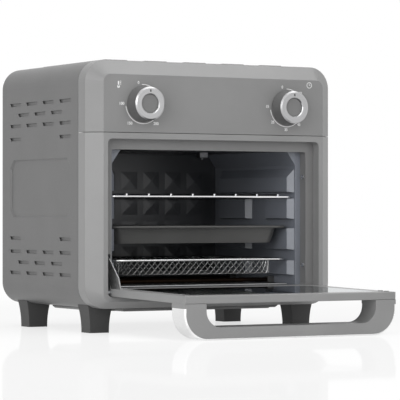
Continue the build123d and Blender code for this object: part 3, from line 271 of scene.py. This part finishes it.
# white epoxy ink, pad printed on the fascia: flat white
padInk = paintLike("padPrintedInk", "#e4e4e4", "#ececec", rough=0.5, grain=0.8, deep=0.004, edge=0.05)
# dark ink of the dial marks
darkInk = paintLike("darkPrintedInk", "#303030", "#383838", rough=0.5, grain=0.8, deep=0.004, edge=0.05)


# tempered float glass with a dark screen: polished, mirrors at a shallow angle, dark from above
glass = dict(
    low="#1c1e20",
    high="#212325",
    cloud=90.0,
    cloudDetail=2.0,
    wave=45.0,
    waveDetail=1.0,
    deep=0.01,
    rough=0.03,
    ior=1.52,
    clear="#8b8f92",
    gloss="#f2f4f5",
    screenShare=0.35,
)


def makeGlass():
    material = startMaterial("temperedDoorGlass")
    coords = addNode(material, "ShaderNodeTexCoord").outputs["Object"]
    cloud = addNode(
        material,
        "ShaderNodeTexNoise",
        Vector=coords,
        Scale=perMetre / glass["cloud"],
        Detail=glass["cloudDetail"],
    )
    wave = addNode(
        material,
        "ShaderNodeTexNoise",
        Vector=coords,
        Scale=perMetre / glass["wave"],
        Detail=glass["waveDetail"],
    )
    relief = addNode(
        material, "ShaderNodeBump", Height=wave.outputs["Fac"], Distance=glass["deep"] * mm
    ).outputs["Normal"]
    screen = addNode(
        material,
        "ShaderNodeBsdfPrincipled",
        Base_Color=twoTones(material, cloud.outputs["Fac"], glass["low"], glass["high"]),
        Roughness=glass["rough"],
        IOR=glass["ior"],
        Normal=relief,
    )
    clear = addNode(material, "ShaderNodeBsdfTransparent", Color=linear(glass["clear"]))
    body = addNode(
        material, "ShaderNodeMixShader", i0=glass["screenShare"], i1=clear.outputs[0], i2=screen.outputs[0]
    )
    gloss = addNode(
        material,
        "ShaderNodeBsdfGlossy",
        Color=linear(glass["gloss"]),
        Roughness=glass["rough"],
        Normal=relief,
    )
    fresnel = addNode(material, "ShaderNodeFresnel", IOR=glass["ior"])
    mixed = addNode(
        material, "ShaderNodeMixShader", i0=fresnel.outputs[0], i1=body.outputs[0], i2=gloss.outputs[0]
    )
    addNode(material, "ShaderNodeOutputMaterial", Surface=mixed.outputs[0])
    return material


doorGlass = makeGlass()


# turned aluminium ring: fine rings of the cutting tool about the dial's axis give it a silky gleam
turnedMetal = dict(low="#a6a6a7", high="#bababb", rough=0.28, groove=0.5, detail=2.0, deep=0.01, edge=0.3)


def makeTurnedMetal(name, centreX, centreZ):
    material = startMaterial(name)
    coords = addNode(material, "ShaderNodeTexCoord").outputs["Object"]
    centred = addNode(material, "ShaderNodeMapping", Vector=coords, Location=(-centreX, 0, -centreZ))
    flat = addNode(
        material,
        "ShaderNodeVectorMath",
        dict(operation="MULTIPLY"),
        i0=centred.outputs["Vector"],
        i1=(1, 0, 1),
    )
    radius = addNode(material, "ShaderNodeVectorMath", dict(operation="LENGTH"), i0=flat.outputs["Vector"])
    grooves = addNode(
        material,
        "ShaderNodeTexNoise",
        dict(noise_dimensions="1D"),
        W=radius.outputs["Value"],
        Scale=perMetre / turnedMetal["groove"],
        Detail=turnedMetal["detail"],
    ).outputs["Fac"]
    softened = addNode(
        material,
        "ShaderNodeBevel",
        dict(samples=surface["bevelSamples"]),
        Radius=turnedMetal["edge"] * mm,
    )
    relief = addNode(
        material,
        "ShaderNodeBump",
        Height=grooves,
        Distance=turnedMetal["deep"] * mm,
        Normal=softened.outputs["Normal"],
    )
    shader = addNode(
        material,
        "ShaderNodeBsdfPrincipled",
        Base_Color=twoTones(material, grooves, turnedMetal["low"], turnedMetal["high"]),
        Metallic=1.0,
        Roughness=turnedMetal["rough"],
        Normal=relief.outputs["Normal"],
    )
    addNode(material, "ShaderNodeOutputMaterial", Surface=shader.outputs["BSDF"])
    return material


# the dials' centres, in metres
dials = {
    "temp": dict(x=-0.106, z=0.2875),
    "timer": dict(x=0.106, z=0.2875),
}
for dial, at in dials.items():
    at["metal"] = makeTurnedMetal(f"turnedAluminium_{dial}", at["x"], at["z"])

finishes = {
    powderCoatShaded: ["housing_wrap"],
    fasciaPaint: ["control_panel"],
    lowerPaintLit: ["front_frame", "base_plate"],
    framePaintShaded: ["inner_frame"],
    doorPaint: ["door_frame", "handle_screws"],
    handlePaint: ["handle_core"],
    nonStickWallLit: ["cavity_left", "cavity_right"],
    nonStickShaded: ["cavity_back", "cavity_top", "cavity_floor", "fan_guard"],
    nonStickTray: ["baking_tray", "heater_brackets"],
    stainlessRim: ["basket_rim"],
    footRubber: ["foot_front_left", "foot_front_right", "foot_rear_left", "foot_rear_right"],
    knobNylon: ["temp_knob", "timer_knob"],
    capPaint: ["temp_knob_cap", "timer_knob_cap"],
    glandNylon: ["cord_gland"],
    controlResin: ["thermostat", "timer"],
    steatite: ["heater_bushes", "terminal_block"],
    heaterOxide: ["upper_heater", "lower_heaters"],
    galvanised: ["rear_panel", "control_bracket", "fan_dome", "motor_bracket"],
    chromeWire: ["wire_rack"],
    stainlessWire: ["basket_mesh"],
    dullSteel: ["sensor_clip"],
    rolledAluminium: ["crumb_tray", "fan_blade", "cooling_fan"],
    anodisedStrip: ["handle_trim"],
    zincScrew: [
        "rear_screws",
        "foot_screws",
        "cavity_screws",
        "hinge_pins",
        "temp_shaft",
        "timer_shaft",
        "motor_shaft",
        "timer_bell",
    ],
    hingeSteel: ["hinge_arm"],
    motorSteel: ["fan_motor"],
    doorGlass: ["door_inner_glass", "door_outer_glass"],
    dials["temp"]["metal"]: ["temp_knob_ring"],
    dials["timer"]["metal"]: ["timer_knob_ring"],
}
dressed = set()
for material, names in finishes.items():
    for name in names:
        nodes[name].data.materials.clear()
        nodes[name].data.materials.append(material)
        dressed.add(name)
print("finishes given", len(dressed), "bare", sorted(set(nodes) - dressed))


# a new piece from a bmesh
def makePiece(name, mesh, material, body, replaced=()):
    data = bpy.data.meshes.new(name)
    mesh.to_mesh(data)
    mesh.free()
    data.materials.append(material)
    piece = bpy.data.objects.new(name, data)
    bpy.context.scene.collection.objects.link(piece)
    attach(piece, body)
    if replaced:
        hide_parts(*replaced)
    return piece


def addBlock(mesh, centre, size):
    made = bmesh.ops.create_cube(mesh, size=1.0)["verts"]
    bmesh.ops.scale(mesh, vec=size, verts=made)
    bmesh.ops.translate(mesh, vec=centre, verts=made)


def spinFace(mesh, corners, centre, axis, angle, steps, closed):
    # a flat section carried round an axis
    verts = [mesh.verts.new(corner) for corner in corners]
    face = mesh.faces.new(verts)
    bmesh.ops.spin(
        mesh,
        geom=[face, *face.edges, *face.verts],
        cent=centre,
        axis=axis,
        angle=angle,
        steps=steps,
        use_merge=closed,
    )


# woven wire of the frying basket: a flat diamond net folded to the basket's flange, walls and floor,
# then made into wire. The wire is a touch thicker than life so that it shows at this distance.
basket = dict(
    cellX=8.6, cellY=9.3, wire=0.75, flange=15.0, wall=18.6, corner=14.0, rimBend=14.5, wallBend=8.0
)


def squeezeEnd(value, reach, newReach):
    # keeps the middle as it is and takes up what is too long near the corner
    plain = newReach - basket["corner"] * mm
    over = abs(value) - plain
    if over <= 0 or reach <= plain:
        return value
    return math.copysign(plain + over * (newReach - plain) / (reach - plain), value)


def foldRing(co, halfX, halfY):
    # a point of the flat net goes to the ring of the basket that lies as far in from the net's edge
    wall, flange = basket["wall"] * mm, basket["flange"] * mm
    netX, netY = halfX + wall, halfY + wall
    inward = min(netX - abs(co.x), netY - abs(co.y))
    inset = min(inward, flange) + max(inward - flange - wall, 0)
    drop = min(max(inward - flange, 0), wall)
    x = squeezeEnd(co.x, netX - inward, halfX - inset)
    y = squeezeEnd(co.y, netY - inward, halfY - inset)
    bend = (basket["rimBend"] if drop == 0 else basket["wallBend"]) * mm
    straightX, straightY = halfX - inset - bend, halfY - inset - bend
    overX, overY = abs(x) - straightX, abs(y) - straightY
    if overX > 0 and overY > 0:
        pull = max(overX, overY) / math.hypot(overX, overY)
        x = math.copysign(straightX + overX * pull, x)
        y = math.copysign(straightY + overY * pull, y)
    return Vector((x, y, -drop))


def makeBasketWire():
    low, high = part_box("basket_mesh")
    halfX = (high.x - low.x) / 2
    halfY = (high.y - low.y) / 2
    wall = basket["wall"] * mm
    countX = round(2 * (halfX + wall) / mm / basket["cellX"])
    countY = round(2 * (halfY + wall) / mm / basket["cellY"])
    mesh = bmesh.new()
    bmesh.ops.create_grid(mesh, x_segments=countX, y_segments=countY, size=1.0)
    # each square gets a middle point, and the straight lines go: what is left is a net of diamonds
    straight = list(mesh.edges)
    bmesh.ops.poke(mesh, faces=mesh.faces[:])
    inner = [edge for edge in straight if len(edge.link_faces) == 2]
    bmesh.ops.dissolve_edges(mesh, edges=inner, use_verts=False)
    bmesh.ops.subdivide_edges(mesh, edges=mesh.edges[:], cuts=1)
    bmesh.ops.scale(mesh, vec=(halfX + wall, halfY + wall, 1), verts=mesh.verts)
    for vert in mesh.verts:
        vert.co = foldRing(vert.co, halfX, halfY)
    middle = Vector((0, (high.y + low.y) / 2, high.z - basket["wire"] * mm / 2))
    bmesh.ops.translate(mesh, vec=middle, verts=mesh.verts)
    piece = makePiece("basketWire", mesh, stainlessWire, "basket", ["basket_mesh"])
    wire = piece.modifiers.new("wire", "WIREFRAME")
    wire.thickness = basket["wire"] * mm
    wire.use_even_offset = False
    wire.use_boundary = True


makeBasketWire()
print("basket woven")


# tongues pressed in behind the side vents, drawn as one plate behind each group: they close the view
louvre = dict(behind=2.6, thick=0.8, long=188.0, high=60.0, middleY=103.5, levels=(270.4, 95.0))


def makeLouvreBacks():
    low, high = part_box("housing_wrap")
    mesh = bmesh.new()
    size = (louvre["thick"] * mm, louvre["long"] * mm, louvre["high"] * mm)
    for side in (low.x + louvre["behind"] * mm, high.x - louvre["behind"] * mm):
        for level in louvre["levels"]:
            addBlock(mesh, (side, louvre["middleY"] * mm, level * mm), size)
    makePiece("louvreBacks", mesh, powderCoatShaded, "oven")


makeLouvreBacks()
print("vents backed")


# dial ring: a turned profile spun about the dial's axis, with an outer bevel and a lip that dips to the cap.
# The profile is radius and depth behind the front of the CAD ring, in millimetres.
ringShape = dict(
    profile=(
        (19.7, 2.2),
        (19.7, 0.55),
        (21.0, 0.55),
        (21.0, 0.3),
        (19.1, -1.0),
        (13.2, -1.0),
        (12.6, -0.8),
        (11.75, 0.3),
        (11.75, 2.2),
    ),
    steps=96,
    weld=1e-6,
    pointer=dict(wide=1.9, high=3.2, deep=0.35, radius=15.9, proud=0.9),
)


def makeRing(dial, at):
    low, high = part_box(f"{dial}_knob_ring")
    middle = Vector(((low.x + high.x) / 2, low.y, (low.z + high.z) / 2))
    profile = [(radius * mm, back * mm, 0) for radius, back in ringShape["profile"]]
    mesh = bmesh.new()
    spinFace(mesh, profile, (0, 0, 0), (0, 1, 0), 2 * math.pi, ringShape["steps"], True)
    bmesh.ops.remove_doubles(mesh, verts=mesh.verts, dist=ringShape["weld"])
    # the section that the turn began from stays inside the ring, so it goes
    seam = [face for face in mesh.faces if len(face.verts) == len(profile)]
    bmesh.ops.delete(mesh, geom=seam, context="FACES_ONLY")
    bmesh.ops.translate(mesh, vec=middle, verts=mesh.verts)
    bmesh.ops.recalc_face_normals(mesh, faces=mesh.faces)
    makePiece(f"{dial}RingTurned", mesh, at["metal"], f"{dial}_dial", [f"{dial}_knob_ring"])
    # dark pointer mark set into the face of the ring above the cap
    mark = ringShape["pointer"]
    mesh = bmesh.new()
    spot = middle + Vector((0, -mark["proud"] * mm, mark["radius"] * mm))
    addBlock(mesh, spot, (mark["wide"] * mm, mark["deep"] * mm, mark["high"] * mm))
    makePiece(f"{dial}Pointer", mesh, darkInk, f"{dial}_dial")


for dial, at in dials.items():
    makeRing(dial, at)
print("dial rings turned")


# pad printing on the flat of the control panel, in millimetres and degrees: scale arcs, plain numbers,
# each with its angle and radius about the dial, and two symbols
printing = dict(
    arcRadius=24.6,
    lineWide=1.0,
    arcStep=5,
    fewestSteps=4,
    thick=0.06,
    weld=0.002,
    textHigh=5.0,
    textSwell=0.12,
    scales=dict(
        temp=dict(
            arcs=((58, 94), (187, 306)),
            numbers=((104, 27.5, "0"), (180, 30.5, "100"), (232, 31.0, "150"), (307, 30.5, "200")),
        ),
        timer=dict(
            arcs=((58, 90), (187, 311)),
            numbers=(
                (104, 27.5, "0"),
                (43, 28.5, "60"),
                (178, 29.5, "15"),
                (222, 28.5, "25"),
                (268, 28.5, "35"),
                (311, 28.5, "45"),
            ),
        ),
    ),
)
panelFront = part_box("control_panel")[0].y


def addArc(mesh, centre, radius, wide, start, end):
    # a small square section carried round part of a circle in the plane of the panel
    angle = math.radians(start)
    out = Vector((math.cos(angle), 0, math.sin(angle)))
    front = Vector((0, -printing["thick"], 0))
    inner, outer = out * (radius - wide / 2), out * (radius + wide / 2)
    corners = [Vector(centre) + corner for corner in (inner, outer, outer + front, inner + front)]
    sweep = end - start
    steps = max(printing["fewestSteps"], round(sweep / printing["arcStep"]))
    spinFace(mesh, corners, centre, (0, -1, 0), math.radians(sweep), steps, sweep >= 360)


def addDisc(mesh, centre, radius, segments):
    thick = printing["thick"]
    made = bmesh.ops.create_cone(
        mesh, cap_ends=True, segments=segments, radius1=radius, radius2=radius, depth=thick
    )["verts"]
    bmesh.ops.rotate(mesh, verts=made, cent=(0, 0, 0), matrix=Matrix.Rotation(math.pi / 2, 3, "X"))
    bmesh.ops.translate(mesh, vec=Vector(centre) - Vector((0, thick / 2, 0)), verts=made)


def printPiece(name, mesh):
    # drawn in millimetres from the panel's front, then set in place
    bmesh.ops.remove_doubles(mesh, verts=mesh.verts, dist=printing["weld"])
    bmesh.ops.recalc_face_normals(mesh, faces=mesh.faces)
    bmesh.ops.scale(mesh, vec=(mm, mm, mm), verts=mesh.verts)
    bmesh.ops.translate(mesh, vec=(0, panelFront, 0), verts=mesh.verts)
    makePiece(name, mesh, padInk, "oven")


def printNumber(name, text, x, z):
    curve = bpy.data.curves.new(name, "FONT")
    curve.body = text
    curve.size = printing["textHigh"] * mm
    curve.offset = printing["textSwell"] * mm
    curve.align_x = "CENTER"
    curve.align_y = "CENTER"
    curve.extrude = printing["thick"] / 2 * mm
    flat = bpy.data.objects.new(name, curve)
    data = bpy.data.meshes.new_from_object(flat)
    data.name = name
    spot = Vector((x, -printing["thick"] / 2, z)) * mm + Vector((0, panelFront, 0))
    data.transform(Matrix.Translation(spot) @ Matrix.Rotation(math.pi / 2, 4, "X"))
    bpy.data.objects.remove(flat)
    bpy.data.curves.remove(curve)
    data.materials.clear()
    data.materials.append(padInk)
    number = bpy.data.objects.new(data.name, data)
    bpy.context.scene.collection.objects.link(number)
    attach(number, "oven")


def printScale(dial, at):
    scale = printing["scales"][dial]
    x, z = at["x"] / mm, at["z"] / mm
    mesh = bmesh.new()
    for start, end in scale["arcs"]:
        addArc(mesh, (x, 0, z), printing["arcRadius"], printing["lineWide"], start, end)
    printPiece(f"{dial}ScaleArcs", mesh)
    for place, radius, text in scale["numbers"]:
        angle = math.radians(place)
        printNumber(f"{dial}Number{text}", text, x + radius * math.cos(angle), z + radius * math.sin(angle))


# places and sizes on the panel in millimetres: X and Z of each middle, then width and height
thermometer = dict(
    bulb=(-141.0, 308.9),
    bulbRadius=1.9,
    bulbSegments=24,
    bars=(
        (-141.0, 312.4, 1.7, 6.2),
        (-138.2, 311.6, 2.0, 0.7),
        (-138.2, 313.5, 2.0, 0.7),
        (-138.2, 315.4, 2.0, 0.7),
    ),
)
clock = dict(
    rim=(140.8, 317.7),
    rimRadius=3.6,
    lineWide=0.8,
    hands=((140.8, 318.8, 0.7, 2.6), (141.6, 317.7, 1.9, 0.7)),
)


def addBars(mesh, bars):
    thick = printing["thick"]
    for x, z, wide, high in bars:
        addBlock(mesh, (x, -thick / 2, z), (wide, thick, high))


def printSymbols():
    mesh = bmesh.new()
    bulbX, bulbZ = thermometer["bulb"]
    addDisc(mesh, (bulbX, 0, bulbZ), thermometer["bulbRadius"], thermometer["bulbSegments"])
    addBars(mesh, thermometer["bars"])
    printPiece("thermometerSymbol", mesh)
    mesh = bmesh.new()
    rimX, rimZ = clock["rim"]
    addArc(mesh, (rimX, 0, rimZ), clock["rimRadius"], clock["lineWide"], 0, 360)
    addBars(mesh, clock["hands"])
    printPiece("clockSymbol", mesh)


for dial, at in dials.items():
    printScale(dial, at)
printSymbols()
print("panel printed")


# floor and backdrop, in metres: the paper's shadow side fades into plain white from near to far
studio = dict(
    floor=6.0,
    paper="#fafafa",
    near=0.5,
    far=1.3,
    paperShare=0.22,
    mirror=0.1,
    mirrorRough=0.04,
    world=0.28,
    aim=(0, 0, 0.15),
)


def seenStraight(owner):
    # 1 for rays of the camera, of gloss and of clear glass, 0 for the light that falls on things
    path = addNode(owner, "ShaderNodeLightPath")
    seen = path.outputs["Is Camera Ray"]
    for ray in ("Is Glossy Ray", "Is Transmission Ray"):
        either = addNode(owner, "ShaderNodeMath", dict(operation="MAXIMUM"), i0=seen, i1=path.outputs[ray])
        seen = either.outputs[0]
    return seen


def makeFloor():
    mesh = bmesh.new()
    bmesh.ops.create_grid(mesh, x_segments=1, y_segments=1, size=studio["floor"])
    data = bpy.data.meshes.new("studioFloor")
    mesh.to_mesh(data)
    mesh.free()
    floor = bpy.data.objects.new("studioFloor", data)
    bpy.context.scene.collection.objects.link(floor)
    # seamless white paper under clear acrylic: it keeps a soft shadow and a faint mirror image,
    # and runs out into plain white further off
    material = startMaterial("whiteAcrylicFloor")
    coords = addNode(material, "ShaderNodeTexCoord").outputs["Object"]
    away = addNode(material, "ShaderNodeVectorMath", dict(operation="LENGTH"), i0=coords)
    whiteShare = addNode(
        material,
        "ShaderNodeMapRange",
        Value=away.outputs["Value"],
        From_Min=studio["near"],
        From_Max=studio["far"],
        To_Min=1 - studio["paperShare"],
        To_Max=1.0,
    )
    share = addNode(
        material,
        "ShaderNodeMath",
        dict(operation="MULTIPLY"),
        i0=seenStraight(material),
        i1=whiteShare.outputs[0],
    )
    paper = addNode(material, "ShaderNodeBsdfDiffuse", Color=linear(studio["paper"]))
    white = addNode(material, "ShaderNodeEmission", Color=(1, 1, 1, 1), Strength=1.0)
    lit = addNode(
        material, "ShaderNodeMixShader", i0=share.outputs[0], i1=paper.outputs[0], i2=white.outputs[0]
    )
    gloss = addNode(material, "ShaderNodeBsdfGlossy", Color=(1, 1, 1, 1), Roughness=studio["mirrorRough"])
    mixed = addNode(
        material, "ShaderNodeMixShader", i0=studio["mirror"], i1=lit.outputs[0], i2=gloss.outputs[0]
    )
    addNode(material, "ShaderNodeOutputMaterial", Surface=mixed.outputs[0])
    data.materials.append(material)


def makeWorld():
    # plain white where the camera, metal and glass see it, and a soft fill for everything else
    world = bpy.data.worlds.new("studioWorld")
    bpy.context.scene.world = world
    world.use_nodes = True
    world.node_tree.nodes.clear()
    fill = addNode(world, "ShaderNodeBackground", Color=(1, 1, 1, 1), Strength=studio["world"])
    white = addNode(world, "ShaderNodeBackground", Color=(1, 1, 1, 1), Strength=1.0)
    mixed = addNode(
        world, "ShaderNodeMixShader", i0=seenStraight(world), i1=fill.outputs[0], i2=white.outputs[0]
    )
    addNode(world, "ShaderNodeOutputWorld", Surface=mixed.outputs[0])


# soft boxes, in metres and watts
lamps = {
    "overhead": dict(place=(0.0, -0.2, 2.0), size=2.8, deep=1.2, power=26.0),
    "leftFront": dict(place=(-2.0, -1.4, 0.9), size=1.6, deep=1.6, power=25.0),
    "front": dict(place=(0.1, -2.2, 1.1), size=1.4, deep=1.4, power=11.0),
}


def makeLamps():
    for name, lamp in lamps.items():
        data = bpy.data.lights.new(name, "AREA")
        data.shape = "RECTANGLE"
        data.size = lamp["size"]
        data.size_y = lamp["deep"]
        data.energy = lamp["power"]
        box = bpy.data.objects.new(name, data)
        box.location = lamp["place"]
        aim = Vector(studio["aim"]) - Vector(lamp["place"])
        box.rotation_euler = aim.to_track_quat("-Z", "Y").to_euler()
        bpy.context.scene.collection.objects.link(box)


makeFloor()
makeWorld()
makeLamps()
bpy.context.scene.view_settings.view_transform = "Standard"
print("studio lit")
